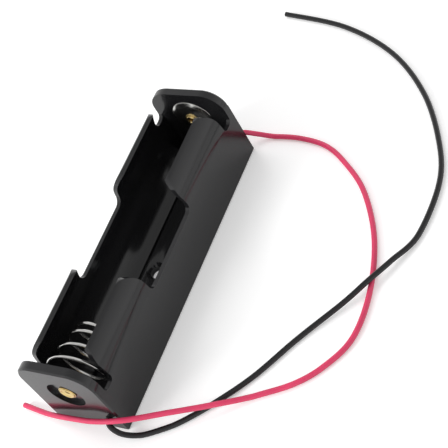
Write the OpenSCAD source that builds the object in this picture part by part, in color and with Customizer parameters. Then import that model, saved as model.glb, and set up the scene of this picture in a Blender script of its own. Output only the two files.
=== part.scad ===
// Holder for one cylindrical 18650 cell, with two wire leads.
// Frame: origin at the centre of the underside, X across, Y along the cell, Z up.
// The conical spring is at the -Y end and the flat contact at the +Y end.

/* [Housing] */
// Overall length over both end walls
body_l = 78; // [72:0.5:90]
// Overall width at the underside
body_w = 20.8; // [20:0.1:26]
// Height of the end walls
body_h = 22.4; // [20.5:0.1:28]
// Inward draft of each side face, from the underside to the top
draft = 0.2; // [0:0.05:0.4]
// Thickness of the end walls
end_t = 2.2; // [1.9:0.1:3]
// Thickness of the side walls at the finger cut-outs
side_t = 1; // [0.8:0.1:1.4]
// Thickness of the floor along the centre channel
floor_t = 2.3; // [1.8:0.1:3]
// Radius of the end walls' top corners
corner_r = 5.5; // [3:0.1:7]
// Chamfer round the outer top edge of the end walls
edge_c = 0.4; // [0.1:0.05:0.6]
// Radius of the long edges under the tray
foot_r = 0.8; // [0.3:0.1:1.5]

/* [Cell cradle] */
// Bore of the cradle that the cell lies in
bay_d = 18.5; // [18.2:0.1:18.9]
// Width of the flat channel along the floor
channel_w = 6.4; // [5.6:0.1:8]
// Length of the squarer pocket behind each contact
pocket_l = 3.8; // [3:0.1:6]

/* [Retaining lobes] */
// Height of the side walls at the finger cut-outs
rim_z = 13.35; // [12:0.05:14.5]
// Height of the lobe tips
lobe_top = 21.9; // [20:0.1:22.4]
// Distance from the middle to the inner edge of each lobe
lobe_y0 = 11.3; // [8:0.1:14]
// Distance from the middle to the outer edge of each lobe
lobe_y1 = 33.3; // [30:0.1:34]
// Radius of the lobes' top corners
lobe_r = 4.5; // [2:0.1:6]
// Radius in the bottom corners of the finger cut-outs
cut_r = 2; // [0.5:0.1:3]
// Radius in the bottom corners of the slots beside the end walls
slot_r = 1.3; // [0.5:0.1:1.5]

/* [Contacts] */
// Height of the spring axis
neg_z = 12.7; // [11:0.1:13.5]
// Height of the flat contact's centre
pos_z = 14.3; // [12:0.1:15]
// Radius of the round recess outside each end wall
recess_r = 4.6; // [3:0.1:5.5]
// Depth of that recess
recess_t = 0.9; // [0.5:0.1:1.2]
// Radius of the nickel disc
disc_r = 5.36; // [4.5:0.02:6]
// Height of the disc's plateau above the wall
disc_h = 0.75; // [0.5:0.05:1]
// Sheet thickness of the disc and of the lugs
sheet_t = 0.3; // [0.2:0.05:0.4]
// Radius of the eyelet shanks
shank_r = 1.1; // [0.9:0.05:1.3]

/* [Spring] */
// Wire thickness
wire_d = 0.75; // [0.6:0.05:0.9]
// Axial distance between the open turns
pitch = 3.75; // [3:0.05:4.2]
// Coil radius at the base turn, to the wire's centre
base_r = 7.2; // [6.5:0.1:7.6]
// Loss of radius with each open turn
taper = 0.75; // [0.5:0.05:0.9]

/* [Screw hole] */
// Radius of the hole through the floor, for an M3 screw
hole_r = 1.6; // [1.5:0.05:1.8]
// Radius of the countersink at the channel floor
sink_r = 2.4; // [2:0.05:2.9]

/* [Leads] */
// Outside diameter of the insulation
lead_d = 1.3; // [1.1:0.05:1.5]
// Sideways distance of both lead holes from the middle
exit_x = 7; // [6.5:0.1:7.5]
// Height of both lead holes
exit_z = 4.6; // [4.2:0.1:5.2]

/* [Hidden] */
$fn = 48;
lr = lead_d / 2;
top_w = body_w / 2 - draft;
arc_z = lobe_top - 7.9;
arc_in = top_w - side_t;
cell_z = floor_t + 0.1 + bay_d / 2;
wall_y = body_l / 2 - end_t;
tip_a = atan2(sqrt(max(1, top_w * top_w - pow(lobe_top - arc_z, 2))), lobe_top - arc_z);
lead_hole_r = lr + 0.1;
eye_r = shank_r + wire_d / 2 + 0.02;

// Route of each lead, as x, y, z of its centre line, and the rings in the stretch after it
red_end = [-19.3, -38.8, lr];
red_pts = [
  [exit_x, wall_y + sheet_t, exit_z, 1],
  [exit_x, body_l / 2 + 0.1, exit_z, 1],
  [8.1, 40.7, exit_z - 0.7, 1],
  [10.6, 41.9, 2.0, 1],
  [14.9, 42.5, lr, 2],
  [22, 42.5, lr, 2],
  [29.5, 40.8, lr, 2],
  [36, 36.5, lr, 2],
  [43.6, 28.9, lr, 3],
  [50.4, 16.7, lr, 3],
  [54, 3, lr, 3],
  [54, -8.5, lr, 2],
  [50, -16.2, lr, 2],
  [44.6, -21.5, lr, 2],
  [36.8, -25.9, lr, 2],
  [28, -30.9, 2.5, 2],
  [20, -35.1, 4.2, 2],
  [12.2, -39.2, 5.9, 2],
  [4.4, -40.6, 4.9, 2],
  [-3.2, -40.5, 3.2, 2],
  [-11.1, -40, 1.6, 2],
  [red_end[0], red_end[1], red_end[2], 0]
];
black_end = [2.4, 82.3, lr];
black_pts = [
  [exit_x, -wall_y - sheet_t, exit_z, 1],
  [exit_x, -body_l / 2 - 0.1, exit_z, 1],
  [7.9, -40.7, exit_z - 0.8, 1],
  [10.4, -41.0, 1.9, 1],
  [14.2, -39.8, lr, 1],
  [18, -37.8, lr, 1],
  [22, -35.1, lr, 2],
  [28, -29.4, lr, 2],
  [34.9, -21.3, lr, 3],
  [41.8, -10.5, lr, 3],
  [49.2, -1.0, 1.4, 1],
  [53.4, 5.0, 2.1, 1],
  [56.6, 10.9, 1.5, 2],
  [60.3, 18.9, lr, 3],
  [60.8, 33, lr, 3],
  [57.2, 44.4, lr, 3],
  [49.1, 58.2, lr, 3],
  [37, 70.2, lr, 3],
  [21, 78.4, lr, 3],
  [black_end[0], black_end[1], black_end[2], 0]
];

// Cross-section of the tray walls and floor, in X and Z
module tray_section() {
  difference() {
    union() {
      polygon([[-body_w / 2 + 0.02, foot_r], [body_w / 2 - 0.02, foot_r], [top_w, arc_z], [-top_w, arc_z]]);
      translate([-body_w / 2 + foot_r, 0]) square([body_w - 2 * foot_r, foot_r + 1]);
      for (s = [-1, 1]) translate([s * (body_w / 2 - foot_r), foot_r]) circle(foot_r);
      translate([0, arc_z]) circle(top_w, $fn = 96);
    }
    translate([0, cell_z]) circle(bay_d / 2, $fn = 96);
    polygon([[-bay_d / 2, cell_z], [bay_d / 2, cell_z], [arc_in, arc_z], [-arc_in, arc_z]]);
    translate([0, arc_z]) circle(arc_in, $fn = 96);
    translate([-channel_w / 2, floor_t]) square([channel_w, 4]);
    polygon([[0, arc_z], [30 * tan(tip_a), arc_z + 30], [-30 * tan(tip_a), arc_z + 30]]);
  }
}

// Side outline of the tray, in Y and Z: a low wall with two tall lobes
module side_outline() {
  translate([-wall_y - 0.5, 0]) square([2 * wall_y + 1, rim_z]);
  for (s = [-1, 1]) scale_y(s) {
    translate([lobe_y0, rim_z - 1]) square([lobe_y1 - lobe_y0, lobe_top - lobe_r - rim_z + 1]);
    translate([lobe_y0 + lobe_r, rim_z]) square([lobe_y1 - lobe_y0 - 2 * lobe_r, body_h - rim_z]);
    translate([lobe_y0 + lobe_r, lobe_top - lobe_r]) circle(lobe_r);
    translate([lobe_y1 - lobe_r, lobe_top - lobe_r]) circle(lobe_r);
    corner_fill(lobe_y0, cut_r, -1);
    corner_fill(lobe_y1, slot_r, 1);
    corner_fill(wall_y, slot_r, -1);
  }
}

// Repeats a side outline for one end
module scale_y(s) {
  mirror([s < 0 ? 1 : 0, 0]) children();
}

// Fillet between the rim and a vertical edge at y, on the side that d points to
module corner_fill(y, r, d) {
  difference() {
    translate([min(y, y + d * r), rim_z - 0.3]) square([r, r + 0.3]);
    translate([y + d * r, rim_z + r]) circle(r);
  }
}

// End wall with two round top corners and a chamfer outside, for the +Y end
module end_wall() {
  cx = top_w - corner_r;
  cz = body_h - corner_r;
  intersection() {
    union() {
      translate([-cx, wall_y, 0]) rotate([90, 0, 90])
        linear_extrude(2 * cx)
          polygon([[0, 0], [end_t, 0], [end_t, body_h - edge_c], [end_t - edge_c, body_h], [0, body_h]]);
      for (s = [-1, 1]) translate([s * cx, body_l / 2, cz]) rotate([90, 0, 0]) {
        translate([0, 0, edge_c]) cylinder(h = end_t - edge_c, r = corner_r, $fn = 64);
        cylinder(h = edge_c, r1 = corner_r - edge_c, r2 = corner_r, $fn = 64);
      }
      linear_extrude(cz)
        polygon([[-body_w / 2, wall_y], [body_w / 2, wall_y], [body_w / 2, body_l / 2 - edge_c],
          [top_w - edge_c, body_l / 2], [-top_w + edge_c, body_l / 2], [-body_w / 2, body_l / 2 - edge_c]]);
    }
    translate([0, body_l, 0]) rotate([90, 0, 0]) linear_extrude(2 * body_l) end_section();
  }
}

// Drafted outline that both end walls stay inside, in X and Z
module end_section() {
  polygon([[-body_w / 2 + 0.02, foot_r], [body_w / 2 - 0.02, foot_r], [top_w, arc_z],
    [top_w, body_h + 1], [-top_w, body_h + 1], [-top_w, arc_z]]);
  translate([-body_w / 2 + foot_r, 0]) square([body_w - 2 * foot_r, foot_r + 1]);
  for (s = [-1, 1]) translate([s * (body_w / 2 - foot_r), foot_r]) circle(foot_r);
}

// Face outline of a solder lug whose rivet is at height z, in X and Z
module lug_outline(z) {
  dx = exit_x;
  dz = exit_z - z;
  translate([0, z]) circle(2.3);
  translate([0, z]) rotate(atan2(dz, dx)) translate([0, -1.1]) square([sqrt(dx * dx + dz * dz), 2.2]);
  translate([exit_x, exit_z]) circle(1.5);
}

// Turns a drawing in X and Z into a layer from y = a to y = b
module layer(a, b) {
  translate([0, b, 0]) rotate([90, 0, 0]) linear_extrude(b - a) children();
}

// Places a round solid, drawn along +Z from the wall's inner face, at one end
module at_wall(s, z) {
  translate([0, s * wall_y, z]) rotate([s * 90, 0, 0]) children();
}

module housing() color([0.05, 0.05, 0.06]) difference() {
  union() {
    intersection() {
      layer(-wall_y - 0.5, wall_y + 0.5) tray_section();
      rotate([90, 0, 90]) translate([0, 0, -body_w]) linear_extrude(2 * body_w) side_outline();
    }
    end_wall();
    mirror([0, 1, 0]) end_wall();
  }
  // squarer pockets at both ends, open above the rim
  for (s = [-1, 1]) {
    translate([-arc_in, min(s * wall_y, s * (wall_y - pocket_l)), floor_t]) cube([2 * arc_in, pocket_l, rim_z]);
  }
  // lug seats, eyelet holes, recesses outside and lead holes
  layer(wall_y - 0.01, wall_y + sheet_t) lug_outline(pos_z);
  layer(-wall_y - sheet_t, -wall_y + 0.01) lug_outline(neg_z);
  for (e = [[1, pos_z], [-1, neg_z]]) {
    translate([0, e[0] * body_l / 2, e[1]]) rotate([90, 0, 0]) cylinder(h = 2 * recess_t, r = recess_r, center = true);
    translate([0, e[0] * body_l / 2, e[1]]) rotate([90, 0, 0]) cylinder(h = 3 * end_t, r = shank_r, center = true);
    translate([exit_x, e[0] * (body_l / 2), exit_z]) rotate([90, 0, 0])
      cylinder(h = 3 * end_t, r = lead_hole_r, center = true, $fn = 32);
  }
  // countersunk screw hole
  translate([0, 0, -1]) cylinder(h = floor_t + 2, r = hole_r);
  translate([0, 0, floor_t - (sink_r - hole_r)]) cylinder(h = sink_r - hole_r + 0.01, r1 = hole_r, r2 = sink_r + 0.01);
}

module positive_contact() color([0.8, 0.8, 0.78]) at_wall(1, pos_z) rotate_extrude($fn = 64)
  polygon([[shank_r, disc_h - sheet_t], [disc_r - 1.3, disc_h - sheet_t], [disc_r - 0.35, 0],
    [disc_r, 0], [disc_r, 0.12], [disc_r - 1.2, disc_h], [shank_r, disc_h]]);

// Hollow eyelet: a head above the stack, a shank, and a flange in the recess outside
module eyelet(head_r, head_z) {
  back = end_t - recess_t;
  rotate_extrude() difference() {
    union() {
      translate([0, -back - 0.35]) square([shank_r, back + head_z + 0.65]);
      translate([0, head_z]) square([head_r, 0.3]);
      translate([0, head_z + 0.3]) square([shank_r + 0.3, 0.35]);
      translate([0, -back - 0.35]) square([2.1, 0.35]);
      translate([1.6, -back - 0.35]) circle(0.3, $fn = 24);
    }
    translate([-5, -5]) square([5 + 0.65, 20]);
  }
}

module positive_rivet() color([0.8, 0.62, 0.25]) at_wall(1, pos_z) eyelet(1.75, disc_h);

module negative_rivet() color([0.8, 0.62, 0.25]) at_wall(-1, neg_z) eyelet(2.2, wire_d);

module lug(s, z) {
  difference() {
    layer(s > 0 ? wall_y : -wall_y - sheet_t, s > 0 ? wall_y + sheet_t : -wall_y) lug_outline(z);
    translate([0, s * wall_y, z]) rotate([90, 0, 0]) cylinder(h = 2, r = shank_r, center = true);
    translate([exit_x, s * wall_y, exit_z]) rotate([90, 0, 0]) cylinder(h = 2, r = 0.5, center = true, $fn = 24);
  }
}

module positive_solder_lug() color([0.78, 0.78, 0.76]) lug(1, pos_z);

module negative_solder_lug() color([0.78, 0.78, 0.76]) lug(-1, neg_z);

// Solder that fills the lug's wire hole and stands on it as a low dome
module solder(s) {
  translate([exit_x, s * wall_y, exit_z]) rotate([s * 90, 0, 0]) {
    translate([0, 0, -sheet_t]) cylinder(h = sheet_t, r = 0.5, $fn = 24);
    intersection() {
      translate([0, 0, -0.5]) sphere(1.4, $fn = 32);
      cylinder(h = 2, r = 2);
    }
  }
}

module positive_solder_joint() color([0.7, 0.71, 0.72]) solder(1);

module negative_solder_joint() color([0.7, 0.71, 0.72]) solder(-1);

// Smooth step from 0 to 1 between a and b
function ease(t, a, b) = let (u = min(1, max(0, (t - a) / (b - a)))) u * u * (3 - 2 * u);

// Spring: t counts turns from the first open turn's top; y above the wall and coil radius follow it
t_base = -(neg_y0() - wire_d / 2) / pitch;
function neg_y0() = 3.7;
function spring_h(t) = t < 2.2 ? max(wire_d / 2, neg_y0() + pitch * t - 0.25 * (1 - ease(t, t_base, t_base + 0.5)))
  : neg_y0() + pitch * 2.2 + pitch * 0.46 * (1 - pow(1 - min(1, (t - 2.2) / 1.1), 2));
function spring_r(t) = t > t_base ? base_r - taper * (min(t, 3) - t_base)
  : base_r - (base_r - eye_r) * ease(t_base - t, 0.72, 1.55);
function spring_p(t) = [
  spring_r(t) * cos(90 - 360 * t),
  -wall_y + spring_h(t),
  neg_z + spring_r(t) * sin(90 - 360 * t)
];

// Round tube through a list of centre points, as one closed solid; ref is a way the tube never runs
module tube(pts, r, sides, ref) {
  n = len(pts);
  dirs = [for (i = [0 : n - 1]) unit(pts[min(n - 1, i + 1)] - pts[max(0, i - 1)])];
  verts = [for (i = [0 : n - 1]) let (a = unit(cross(dirs[i], ref)), b = cross(a, dirs[i]))
    for (k = [0 : sides - 1]) pts[i] + r * cos(360 * k / sides) * a + r * sin(360 * k / sides) * b];
  skin = [for (i = [0 : n - 2]) for (k = [0 : sides - 1]) let (m = (k + 1) % sides)
    [i * sides + k, (i + 1) * sides + k, (i + 1) * sides + m, i * sides + m]];
  caps = [[for (k = [0 : sides - 1]) k], [for (k = [sides - 1 : -1 : 0]) (n - 1) * sides + k]];
  polyhedron(points = verts, faces = concat(skin, caps), convexity = 8);
}

function unit(v) = v / norm(v);

module negative_spring() color([0.8, 0.8, 0.78])
  tube([for (i = [0 : 141]) spring_p(t_base - 2.35 + i / 22)], wire_d / 2, 8, [0, 1, 0]);

// Curve through four neighbouring points at u from 0 to 1
function bend(a, b, c, d, u) = 0.5 * (2 * b + (c - a) * u + (2 * a - 5 * b + 4 * c - d) * u * u
  + (3 * b - a - 3 * c + d) * u * u * u);
function xyz(p) = [p[0], p[1], p[2]];
function route(p) = [for (i = [0 : len(p) - 2]) for (j = [0 : p[i][3] - 1])
  let (q = bend(xyz(p[max(0, i - 1)]), xyz(p[i]), xyz(p[i + 1]), xyz(p[min(len(p) - 1, i + 2)]), j / p[i][3]))
  [q[0], q[1], max(lr, q[2])], xyz(p[len(p) - 1])];

module red_lead() color([0.85, 0.1, 0.12]) tube(route(red_pts), lr, 8, [0, 0, 1]);

module black_lead() color([0.06, 0.06, 0.06]) tube(route(black_pts), lr, 8, [0, 0, 1]);

housing();
positive_contact();
positive_rivet();
positive_solder_lug();
positive_solder_joint();
red_lead();
negative_spring();
negative_rivet();
negative_solder_lug();
negative_solder_joint();
black_lead();
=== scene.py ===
import bpy
import bmesh
from math import cos, pi, radians, sin
from mathutils import Matrix, Vector


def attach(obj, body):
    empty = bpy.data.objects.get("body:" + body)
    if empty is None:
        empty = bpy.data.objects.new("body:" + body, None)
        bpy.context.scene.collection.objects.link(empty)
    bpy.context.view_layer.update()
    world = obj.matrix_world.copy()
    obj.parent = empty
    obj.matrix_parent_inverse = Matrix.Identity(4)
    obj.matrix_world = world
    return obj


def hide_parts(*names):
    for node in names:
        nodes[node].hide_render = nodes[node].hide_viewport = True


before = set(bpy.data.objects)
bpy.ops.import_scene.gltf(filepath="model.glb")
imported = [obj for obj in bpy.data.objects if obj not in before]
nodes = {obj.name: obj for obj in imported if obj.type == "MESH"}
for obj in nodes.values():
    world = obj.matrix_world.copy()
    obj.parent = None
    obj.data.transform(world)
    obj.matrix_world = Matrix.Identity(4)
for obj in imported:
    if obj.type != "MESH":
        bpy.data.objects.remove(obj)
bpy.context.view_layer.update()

# Camera, looking down on the tray from its spring end and its right side.
# It stands about 0.3 m away, turned so that the tray runs up and to the right.
view_right = Vector((0.85135, 0.36241, -0.37930))
view_up = Vector((-0.09782, 0.82001, 0.56393))
view_back = view_right.cross(view_up).normalized()
view_up = view_back.cross(view_right.normalized())
eye = Matrix((view_right.normalized(), view_up, view_back)).transposed().to_4x4()
eye.translation = Vector((0.171878, -0.121983, 0.229001))
sensor_mm = 36.0
lens_mm = 105.27
camera = bpy.data.objects.new("camera", bpy.data.cameras.new("camera"))
camera.data.sensor_width = sensor_mm
camera.data.lens = lens_mm
camera.data.clip_start = 0.01
camera.matrix_world = eye
bpy.context.collection.objects.link(camera)
bpy.context.scene.camera = camera

# Table and light: a white table, a white room that is darker overhead, and two soft lamps.
# The table is not part of the holder; it is lifted towards white only where the camera sees it.
table_half = 3
table_top = -0.0001
camera_lift = 0.28
table_mesh = bpy.data.meshes.new("table")
table_mesh.from_pydata([(-table_half, -table_half, table_top), (table_half, -table_half, table_top),
                        (table_half, table_half, table_top), (-table_half, table_half, table_top)],
                       [], [(0, 1, 2, 3)])
table = bpy.data.objects.new("table", table_mesh)
bpy.context.collection.objects.link(table)
table_white = bpy.data.materials.new("table_white")
table_white.use_nodes = True
table_tree = table_white.node_tree
shader = table_tree.nodes["Principled BSDF"]
shader.inputs["Base Color"].default_value = (0.9, 0.9, 0.9, 1)
shader.inputs["Roughness"].default_value = 0.6
shader.inputs["Specular IOR Level"].default_value = 0.2
shader.inputs["Emission Color"].default_value = (1, 1, 1, 1)
seen = table_tree.nodes.new("ShaderNodeLightPath")
lift = table_tree.nodes.new("ShaderNodeMath")
lift.operation = "MULTIPLY"
lift.inputs[1].default_value = camera_lift
table_tree.links.new(seen.outputs["Is Camera Ray"], lift.inputs[0])
table_tree.links.new(lift.outputs["Value"], shader.inputs["Emission Strength"])
table_mesh.materials.append(table_white)

room = bpy.data.worlds.new("room")
bpy.context.scene.world = room
room.use_nodes = True
room_tree = room.node_tree
sky = room_tree.nodes["Background"]
sky.inputs["Color"].default_value = (1, 1, 1, 1)
outlook = room_tree.nodes.new("ShaderNodeTexCoord")
split = room_tree.nodes.new("ShaderNodeSeparateXYZ")
fall = room_tree.nodes.new("ShaderNodeMapRange")
fall.inputs["From Min"].default_value = 0.1
fall.inputs["From Max"].default_value = 0.9
fall.inputs["To Min"].default_value = 1.1
fall.inputs["To Max"].default_value = 0.5
room_tree.links.new(outlook.outputs["Generated"], split.inputs["Vector"])
room_tree.links.new(split.outputs["Z"], fall.inputs["Value"])
room_tree.links.new(fall.outputs["Result"], sky.inputs["Strength"])


def soft_lamp(name, place, aim, size, power):
    """A square lamp at place that points at aim and makes no glint of its own."""
    lamp = bpy.data.objects.new(name, bpy.data.lights.new(name, "AREA"))
    lamp.data.shape = "SQUARE"
    lamp.data.size = size
    lamp.data.energy = power
    lamp.location = place
    lamp.rotation_euler = (Vector(aim) - Vector(place)).to_track_quat("-Z", "Y").to_euler()
    lamp.visible_glossy = False
    bpy.context.collection.objects.link(lamp)


soft_lamp("key_lamp", (-0.5, 0.3, 0.9), (0, 0, 0), 0.5, 2.6)
soft_lamp("end_lamp", (-0.35, -0.45, 0.3), (-0.05, -0.1, 0), 0.25, 2.2)
bpy.context.scene.view_settings.view_transform = "Standard"


# Leads: stranded copper in soft PVC, 1.3 mm across, one from each end wall.
# Each is soldered inside the tray, passes out through its hole, and ends in a plain cut.
lead_radius = 0.00065
wall_inside = 0.0368
wall_outside = 0.039
lug_sheet = 0.0003
past_wall = 0.0001
points_per_stretch = 10
exit_x = 0.007
exit_z = 0.0046


def lead_route(points, per_stretch):
    """A smooth line through listed points, kept on or above the table."""
    points = [Vector(p) for p in points]
    line = []
    for i in range(len(points) - 1):
        a, b = points[max(0, i - 1)], points[i]
        c, d = points[i + 1], points[min(len(points) - 1, i + 2)]
        for j in range(per_stretch):
            u = j / per_stretch
            q = 0.5 * (2 * b + (c - a) * u + (2 * a - 5 * b + 4 * c - d) * u**2
                       + (3 * b - a - 3 * c + d) * u**3)
            line.append(Vector((q.x, q.y, max(lead_radius, q.z))))
    return line + [points[-1]]


def pvc(name, colour, roughness):
    """Soft PVC: faintly uneven colour and a fine grain, with a soft sheen."""
    finish = bpy.data.materials.new(name)
    finish.use_nodes = True
    tree = finish.node_tree
    shader = tree.nodes["Principled BSDF"]
    place = tree.nodes.new("ShaderNodeTexCoord")
    cloud = tree.nodes.new("ShaderNodeTexNoise")
    cloud.inputs["Scale"].default_value = 220
    cloud.inputs["Detail"].default_value = 3
    tree.links.new(place.outputs["Object"], cloud.inputs["Vector"])
    shade = tree.nodes.new("ShaderNodeValToRGB")
    shade.color_ramp.elements[0].position = 0.3
    shade.color_ramp.elements[1].position = 0.7
    shade.color_ramp.elements[0].color = (*[c * 0.88 for c in colour], 1)
    shade.color_ramp.elements[1].color = (*colour, 1)
    tree.links.new(cloud.outputs["Fac"], shade.inputs["Fac"])
    tree.links.new(shade.outputs["Color"], shader.inputs["Base Color"])
    grain = tree.nodes.new("ShaderNodeTexNoise")
    grain.inputs["Scale"].default_value = 2600
    grain.inputs["Detail"].default_value = 2
    tree.links.new(place.outputs["Object"], grain.inputs["Vector"])
    bump = tree.nodes.new("ShaderNodeBump")
    bump.inputs["Strength"].default_value = 0.12
    bump.inputs["Distance"].default_value = 0.00004
    tree.links.new(grain.outputs["Fac"], bump.inputs["Height"])
    tree.links.new(bump.outputs["Normal"], shader.inputs["Normal"])
    shader.inputs["Roughness"].default_value = roughness
    return finish


def lay_lead(name, node, points, finish):
    """One lead as a round curve along its route."""
    line = lead_route(points, points_per_stretch)
    curve = bpy.data.curves.new(name, "CURVE")
    curve.dimensions = "3D"
    curve.bevel_depth = lead_radius
    curve.bevel_resolution = 5
    curve.use_fill_caps = True
    spline = curve.splines.new("POLY")
    spline.points.add(len(line) - 1)
    for spot, p in zip(spline.points, line):
        spot.co = (*p, 1)
    curve.materials.append(finish)
    lead = bpy.data.objects.new(name, curve)
    bpy.context.collection.objects.link(lead)
    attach(lead, "root")
    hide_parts(node)
    return lead


floor_z = lead_radius
lay_lead("red_wire", "red_lead", [
    (exit_x, wall_inside + lug_sheet, exit_z), (exit_x, wall_outside + past_wall, exit_z),
    (0.0081, 0.0407, exit_z - 0.0007), (0.0106, 0.0419, 0.002), (0.0149, 0.0425, floor_z),
    (0.022, 0.0425, floor_z), (0.0295, 0.0408, floor_z), (0.036, 0.0365, floor_z),
    (0.0436, 0.0289, floor_z), (0.0504, 0.0167, floor_z), (0.054, 0.003, floor_z),
    (0.054, -0.0085, floor_z), (0.05, -0.0162, floor_z), (0.0446, -0.0215, floor_z),
    (0.0368, -0.0259, floor_z), (0.028, -0.0309, 0.0025), (0.02, -0.0351, 0.0042),
    (0.0122, -0.0392, 0.0059), (0.0044, -0.0406, 0.0049), (-0.0032, -0.0405, 0.0032),
    (-0.0111, -0.04, 0.0016), (-0.0193, -0.0388, floor_z),
], pvc("red_pvc", (0.76, 0.05, 0.14), 0.27))
lay_lead("black_wire", "black_lead", [
    (exit_x, -wall_inside - lug_sheet, exit_z), (exit_x, -wall_outside - past_wall, exit_z),
    (0.0079, -0.0407, exit_z - 0.0008), (0.0104, -0.041, 0.0019), (0.0142, -0.0398, floor_z),
    (0.018, -0.0378, floor_z), (0.022, -0.0351, floor_z), (0.028, -0.0294, floor_z),
    (0.0349, -0.0213, floor_z), (0.0418, -0.0105, floor_z), (0.0492, -0.001, 0.0014),
    (0.0534, 0.005, 0.0021), (0.0566, 0.0109, 0.0015), (0.0603, 0.0189, floor_z),
    (0.0608, 0.033, floor_z), (0.0572, 0.0444, floor_z), (0.0491, 0.0582, floor_z),
    (0.037, 0.0702, floor_z), (0.021, 0.0784, floor_z), (0.0024, 0.0823, floor_z),
], pvc("black_pvc", (0.007, 0.007, 0.008), 0.26))


# Housing: one injection moulding in glossy black plastic, open at the top.
# Its edges carry the small radii that a mould leaves.
weld_distance = 1e-6
flat_angle = radians(0.3)
mould_radius = 0.00013
smooth_angle = radians(28)
gloss_black = bpy.data.materials.new("gloss_black")
gloss_black.use_nodes = True
tree = gloss_black.node_tree
shader = tree.nodes["Principled BSDF"]
shader.inputs["Base Color"].default_value = (0.012, 0.012, 0.013, 1)
shader.inputs["IOR"].default_value = 1.52
place = tree.nodes.new("ShaderNodeTexCoord")
haze = tree.nodes.new("ShaderNodeTexNoise")
haze.inputs["Scale"].default_value = 90
haze.inputs["Detail"].default_value = 4
tree.links.new(place.outputs["Object"], haze.inputs["Vector"])
rough = tree.nodes.new("ShaderNodeMapRange")
rough.inputs["To Min"].default_value = 0.1
rough.inputs["To Max"].default_value = 0.2
tree.links.new(haze.outputs["Fac"], rough.inputs["Value"])
tree.links.new(rough.outputs["Result"], shader.inputs["Roughness"])
peel = tree.nodes.new("ShaderNodeTexNoise")
peel.inputs["Scale"].default_value = 700
peel.inputs["Detail"].default_value = 2
tree.links.new(place.outputs["Object"], peel.inputs["Vector"])
bump = tree.nodes.new("ShaderNodeBump")
bump.inputs["Strength"].default_value = 0.08
bump.inputs["Distance"].default_value = 0.00005
tree.links.new(peel.outputs["Fac"], bump.inputs["Height"])
tree.links.new(bump.outputs["Normal"], shader.inputs["Normal"])

shell = nodes["housing"].data.copy()
shell.name = "tray_shell"
work = bmesh.new()
work.from_mesh(shell)
bmesh.ops.remove_doubles(work, verts=work.verts, dist=weld_distance)
bmesh.ops.dissolve_limit(work, angle_limit=flat_angle, verts=work.verts, edges=work.edges)
work.to_mesh(shell)
work.free()
shell.materials.clear()
shell.materials.append(gloss_black)
shell.polygons.foreach_set("use_smooth", [True] * len(shell.polygons))
shell.set_sharp_from_angle(angle=smooth_angle)
tray = bpy.data.objects.new("tray_shell", shell)
bpy.context.collection.objects.link(tray)
edge = tray.modifiers.new("mould_edges", "BEVEL")
edge.width = mould_radius
edge.segments = 2
edge.limit_method = "ANGLE"
edge.angle_limit = radians(35)
edge.use_clamp_overlap = True
edge.harden_normals = True
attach(tray, "root")
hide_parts("housing")


# Flat contact: a nickel-plated disc, dished so that its middle stands off the end wall.
# A brass eyelet through its centre clamps it, and the lug behind it, to the wall.
def plated(name, colour, roughness, streaks):
    """Plated or bare metal with faint uneven gloss."""
    finish = bpy.data.materials.new(name)
    finish.use_nodes = True
    tree = finish.node_tree
    shader = tree.nodes["Principled BSDF"]
    shader.inputs["Metallic"].default_value = 1.0
    place = tree.nodes.new("ShaderNodeTexCoord")
    cloud = tree.nodes.new("ShaderNodeTexNoise")
    cloud.inputs["Scale"].default_value = streaks
    cloud.inputs["Detail"].default_value = 5
    tree.links.new(place.outputs["Object"], cloud.inputs["Vector"])
    rough = tree.nodes.new("ShaderNodeMapRange")
    rough.inputs["To Min"].default_value = roughness * 0.7
    rough.inputs["To Max"].default_value = roughness * 1.4
    tree.links.new(cloud.outputs["Fac"], rough.inputs["Value"])
    tree.links.new(rough.outputs["Result"], shader.inputs["Roughness"])
    shade = tree.nodes.new("ShaderNodeValToRGB")
    shade.color_ramp.elements[0].position = 0.3
    shade.color_ramp.elements[1].position = 0.7
    shade.color_ramp.elements[0].color = (*[c * 0.9 for c in colour], 1)
    shade.color_ramp.elements[1].color = (*colour, 1)
    tree.links.new(cloud.outputs["Fac"], shade.inputs["Fac"])
    tree.links.new(shade.outputs["Color"], shader.inputs["Base Color"])
    return finish


def turned(name, profile, centre, facing, steps, finish, node, edge_radius):
    """A closed outline of (radius, height) turned about an axis that stands on the wall."""
    work = bmesh.new()
    rings = []
    for k in range(steps):
        t = 2 * pi * k / steps
        rings.append([work.verts.new((centre[0] + r * cos(t), centre[1] + facing * h,
                                      centre[2] + r * sin(t))) for r, h in profile])
    for k in range(steps):
        here, there = rings[k], rings[(k + 1) % steps]
        for j in range(len(profile)):
            i = (j + 1) % len(profile)
            work.faces.new((here[j], here[i], there[i], there[j]))
    bmesh.ops.recalc_face_normals(work, faces=work.faces)
    mesh = bpy.data.meshes.new(name)
    work.to_mesh(mesh)
    work.free()
    mesh.materials.append(finish)
    mesh.polygons.foreach_set("use_smooth", [True] * len(mesh.polygons))
    mesh.set_sharp_from_angle(angle=smooth_angle)
    piece = bpy.data.objects.new(name, mesh)
    bpy.context.collection.objects.link(piece)
    edge = piece.modifiers.new("edges", "BEVEL")
    edge.width = edge_radius
    edge.segments = 3
    edge.limit_method = "ANGLE"
    edge.angle_limit = radians(30)
    edge.harden_normals = True
    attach(piece, "root")
    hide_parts(node)
    return piece


nickel = plated("nickel_plate", (0.82, 0.81, 0.78), 0.2, 400)
brass = plated("eyelet_brass", (0.86, 0.66, 0.3), 0.18, 500)
pos_z = 0.0143
shank_radius = 0.0011
disc_radius = 0.00536
disc_height = 0.00075
turned("dished_disc", [(shank_radius, disc_height - lug_sheet), (0.00406, disc_height - lug_sheet),
                       (0.00501, 0.0), (disc_radius, 0.0), (disc_radius, 0.00012),
                       (0.00416, disc_height), (shank_radius, disc_height)],
       (0, wall_inside, pos_z), -1, 96, nickel, "positive_contact", 0.00006)


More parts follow.
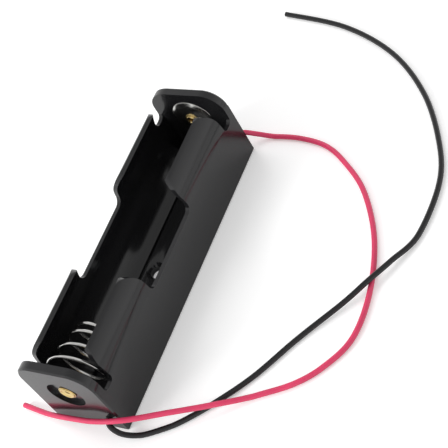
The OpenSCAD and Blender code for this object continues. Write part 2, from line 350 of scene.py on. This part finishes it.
def eyelet_outline(head_radius, head_height):
    """Half section of a hollow eyelet with a rolled lip at each end."""
    bore, shank, back = 0.00065, shank_radius, -0.0013
    lip = [(0.001025 + 0.000375 * cos(a), head_height + 0.0003 + 0.00035 * sin(a))
           for a in [radians(20 * i) for i in range(10)]]
    tail = [(0.0016 + 0.0003 * cos(a), back - 0.00035 + 0.0003 * sin(a))
            for a in [radians(-180 + 20 * i) for i in range(10)]]
    return ([(bore, back - 0.0002), (bore, head_height + 0.0003)] + lip[::-1][1:]
            + [(head_radius, head_height + 0.0003), (head_radius, head_height), (shank, head_height),
               (shank, back), (0.0021, back), (0.0021, back - 0.00035)] + tail[::-1][0:-1]
            + [(0.0012, back - 0.00035)])


turned("disc_eyelet", eyelet_outline(0.00175, disc_height), (0, wall_inside, pos_z), -1, 64, brass,
       "positive_rivet", 0.00004)


# Spring: nickel-plated steel wire, 0.75 mm, wound as a cone that narrows towards the cell.
# Its base turn lies on the end wall and runs in to an eye that the second eyelet clamps.
neg_z = 0.0127
wire = 0.00075
pitch = 0.00375
first_top = 0.0037
base_radius = 0.0072
taper = 0.00075
eye_radius = shank_radius + wire / 2 + 0.00002
base_turn = -(first_top - wire / 2) / pitch
closed_turns = 2.35
turns_in_all = 141 / 22
open_until = 2.2
steps = 400


def ease(t, a, b):
    """A smooth step from 0 to 1 as t goes from a to b."""
    u = min(1, max(0, (t - a) / (b - a)))
    return u * u * (3 - 2 * u)


def coil_point(t):
    """Centre of the wire after t turns."""
    if t < open_until:
        up = max(wire / 2, first_top + pitch * t - 0.00025 * (1 - ease(t, base_turn, base_turn + 0.5)))
    else:
        last = 1 - (1 - min(1, (t - open_until) / 1.1)) ** 2
        up = first_top + pitch * open_until + pitch * 0.46 * last
    if t > base_turn:
        r = base_radius - taper * (min(t, 3) - base_turn)
    else:
        r = base_radius - (base_radius - eye_radius) * ease(base_turn - t, 0.72, 1.55)
    a = radians(90 - 360 * t)
    return (r * cos(a), -wall_inside + up, neg_z + r * sin(a))


coil_line = bpy.data.curves.new("coil_line", "CURVE")
coil_line.dimensions = "3D"
strand = coil_line.splines.new("POLY")
strand.points.add(steps)
for i, spot in enumerate(strand.points):
    spot.co = (*coil_point(base_turn - closed_turns + turns_in_all * i / steps), 1)
coil_source = bpy.data.objects.new("coil_line", coil_line)
bpy.context.collection.objects.link(coil_source)

winding = bpy.data.node_groups.new("spring_winding", "GeometryNodeTree")
winding.interface.new_socket("Geometry", in_out="INPUT", socket_type="NodeSocketGeometry")
wire_socket = winding.interface.new_socket("Wire radius", in_out="INPUT", socket_type="NodeSocketFloat")
side_socket = winding.interface.new_socket("Wire sides", in_out="INPUT", socket_type="NodeSocketInt")
winding.interface.new_socket("Geometry", in_out="OUTPUT", socket_type="NodeSocketGeometry")
enter = winding.nodes.new("NodeGroupInput")
leave = winding.nodes.new("NodeGroupOutput")
rim = winding.nodes.new("GeometryNodeCurvePrimitiveCircle")
sweep = winding.nodes.new("GeometryNodeCurveToMesh")
sweep.inputs["Fill Caps"].default_value = True
smooth = winding.nodes.new("GeometryNodeSetShadeSmooth")
real = winding.nodes.new("GeometryNodeRealizeInstances")
coat = winding.nodes.new("GeometryNodeSetMaterial")
spring_nickel = plated("spring_nickel", (0.86, 0.85, 0.83), 0.16, 600)
coat.inputs["Material"].default_value = spring_nickel
winding.links.new(enter.outputs["Geometry"], sweep.inputs["Curve"])
winding.links.new(enter.outputs["Wire radius"], rim.inputs["Radius"])
winding.links.new(enter.outputs["Wire sides"], rim.inputs["Resolution"])
winding.links.new(rim.outputs["Curve"], sweep.inputs["Profile Curve"])
winding.links.new(sweep.outputs["Mesh"], smooth.inputs["Geometry"])
winding.links.new(smooth.outputs["Geometry"], real.inputs["Geometry"])
winding.links.new(real.outputs["Geometry"], coat.inputs["Geometry"])
winding.links.new(coat.outputs["Geometry"], leave.inputs["Geometry"])
wind = coil_source.modifiers.new("winding", "NODES")
wind.node_group = winding
wind[wire_socket.identifier] = wire / 2
wind[side_socket.identifier] = 14
depsgraph = bpy.context.evaluated_depsgraph_get()
shape = bpy.data.meshes.new_from_object(coil_source.evaluated_get(depsgraph))
shape.name = "cone_spring"
bpy.data.objects.remove(coil_source)
spring = bpy.data.objects.new("cone_spring", shape)
bpy.context.collection.objects.link(spring)
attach(spring, "root")
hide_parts("negative_spring")

turned("spring_eyelet", eyelet_outline(0.0022, wire), (0, -wall_inside, neg_z), 1, 64, brass,
       "negative_rivet", 0.00004)


# Lugs and solder: a flat nickel strip under each eyelet, with the lead soldered at its end.
# They are the modelled solids, with a plated finish and a dull solder finish.
lug_nickel = plated("lug_nickel", (0.78, 0.77, 0.74), 0.3, 350)
solder_tin = plated("solder_tin", (0.68, 0.69, 0.7), 0.34, 900)
for name, finish in (("positive_solder_lug", lug_nickel), ("negative_solder_lug", lug_nickel),
                     ("positive_solder_joint", solder_tin), ("negative_solder_joint", solder_tin)):
    for part in nodes[name].material_slots:
        part.material = finish
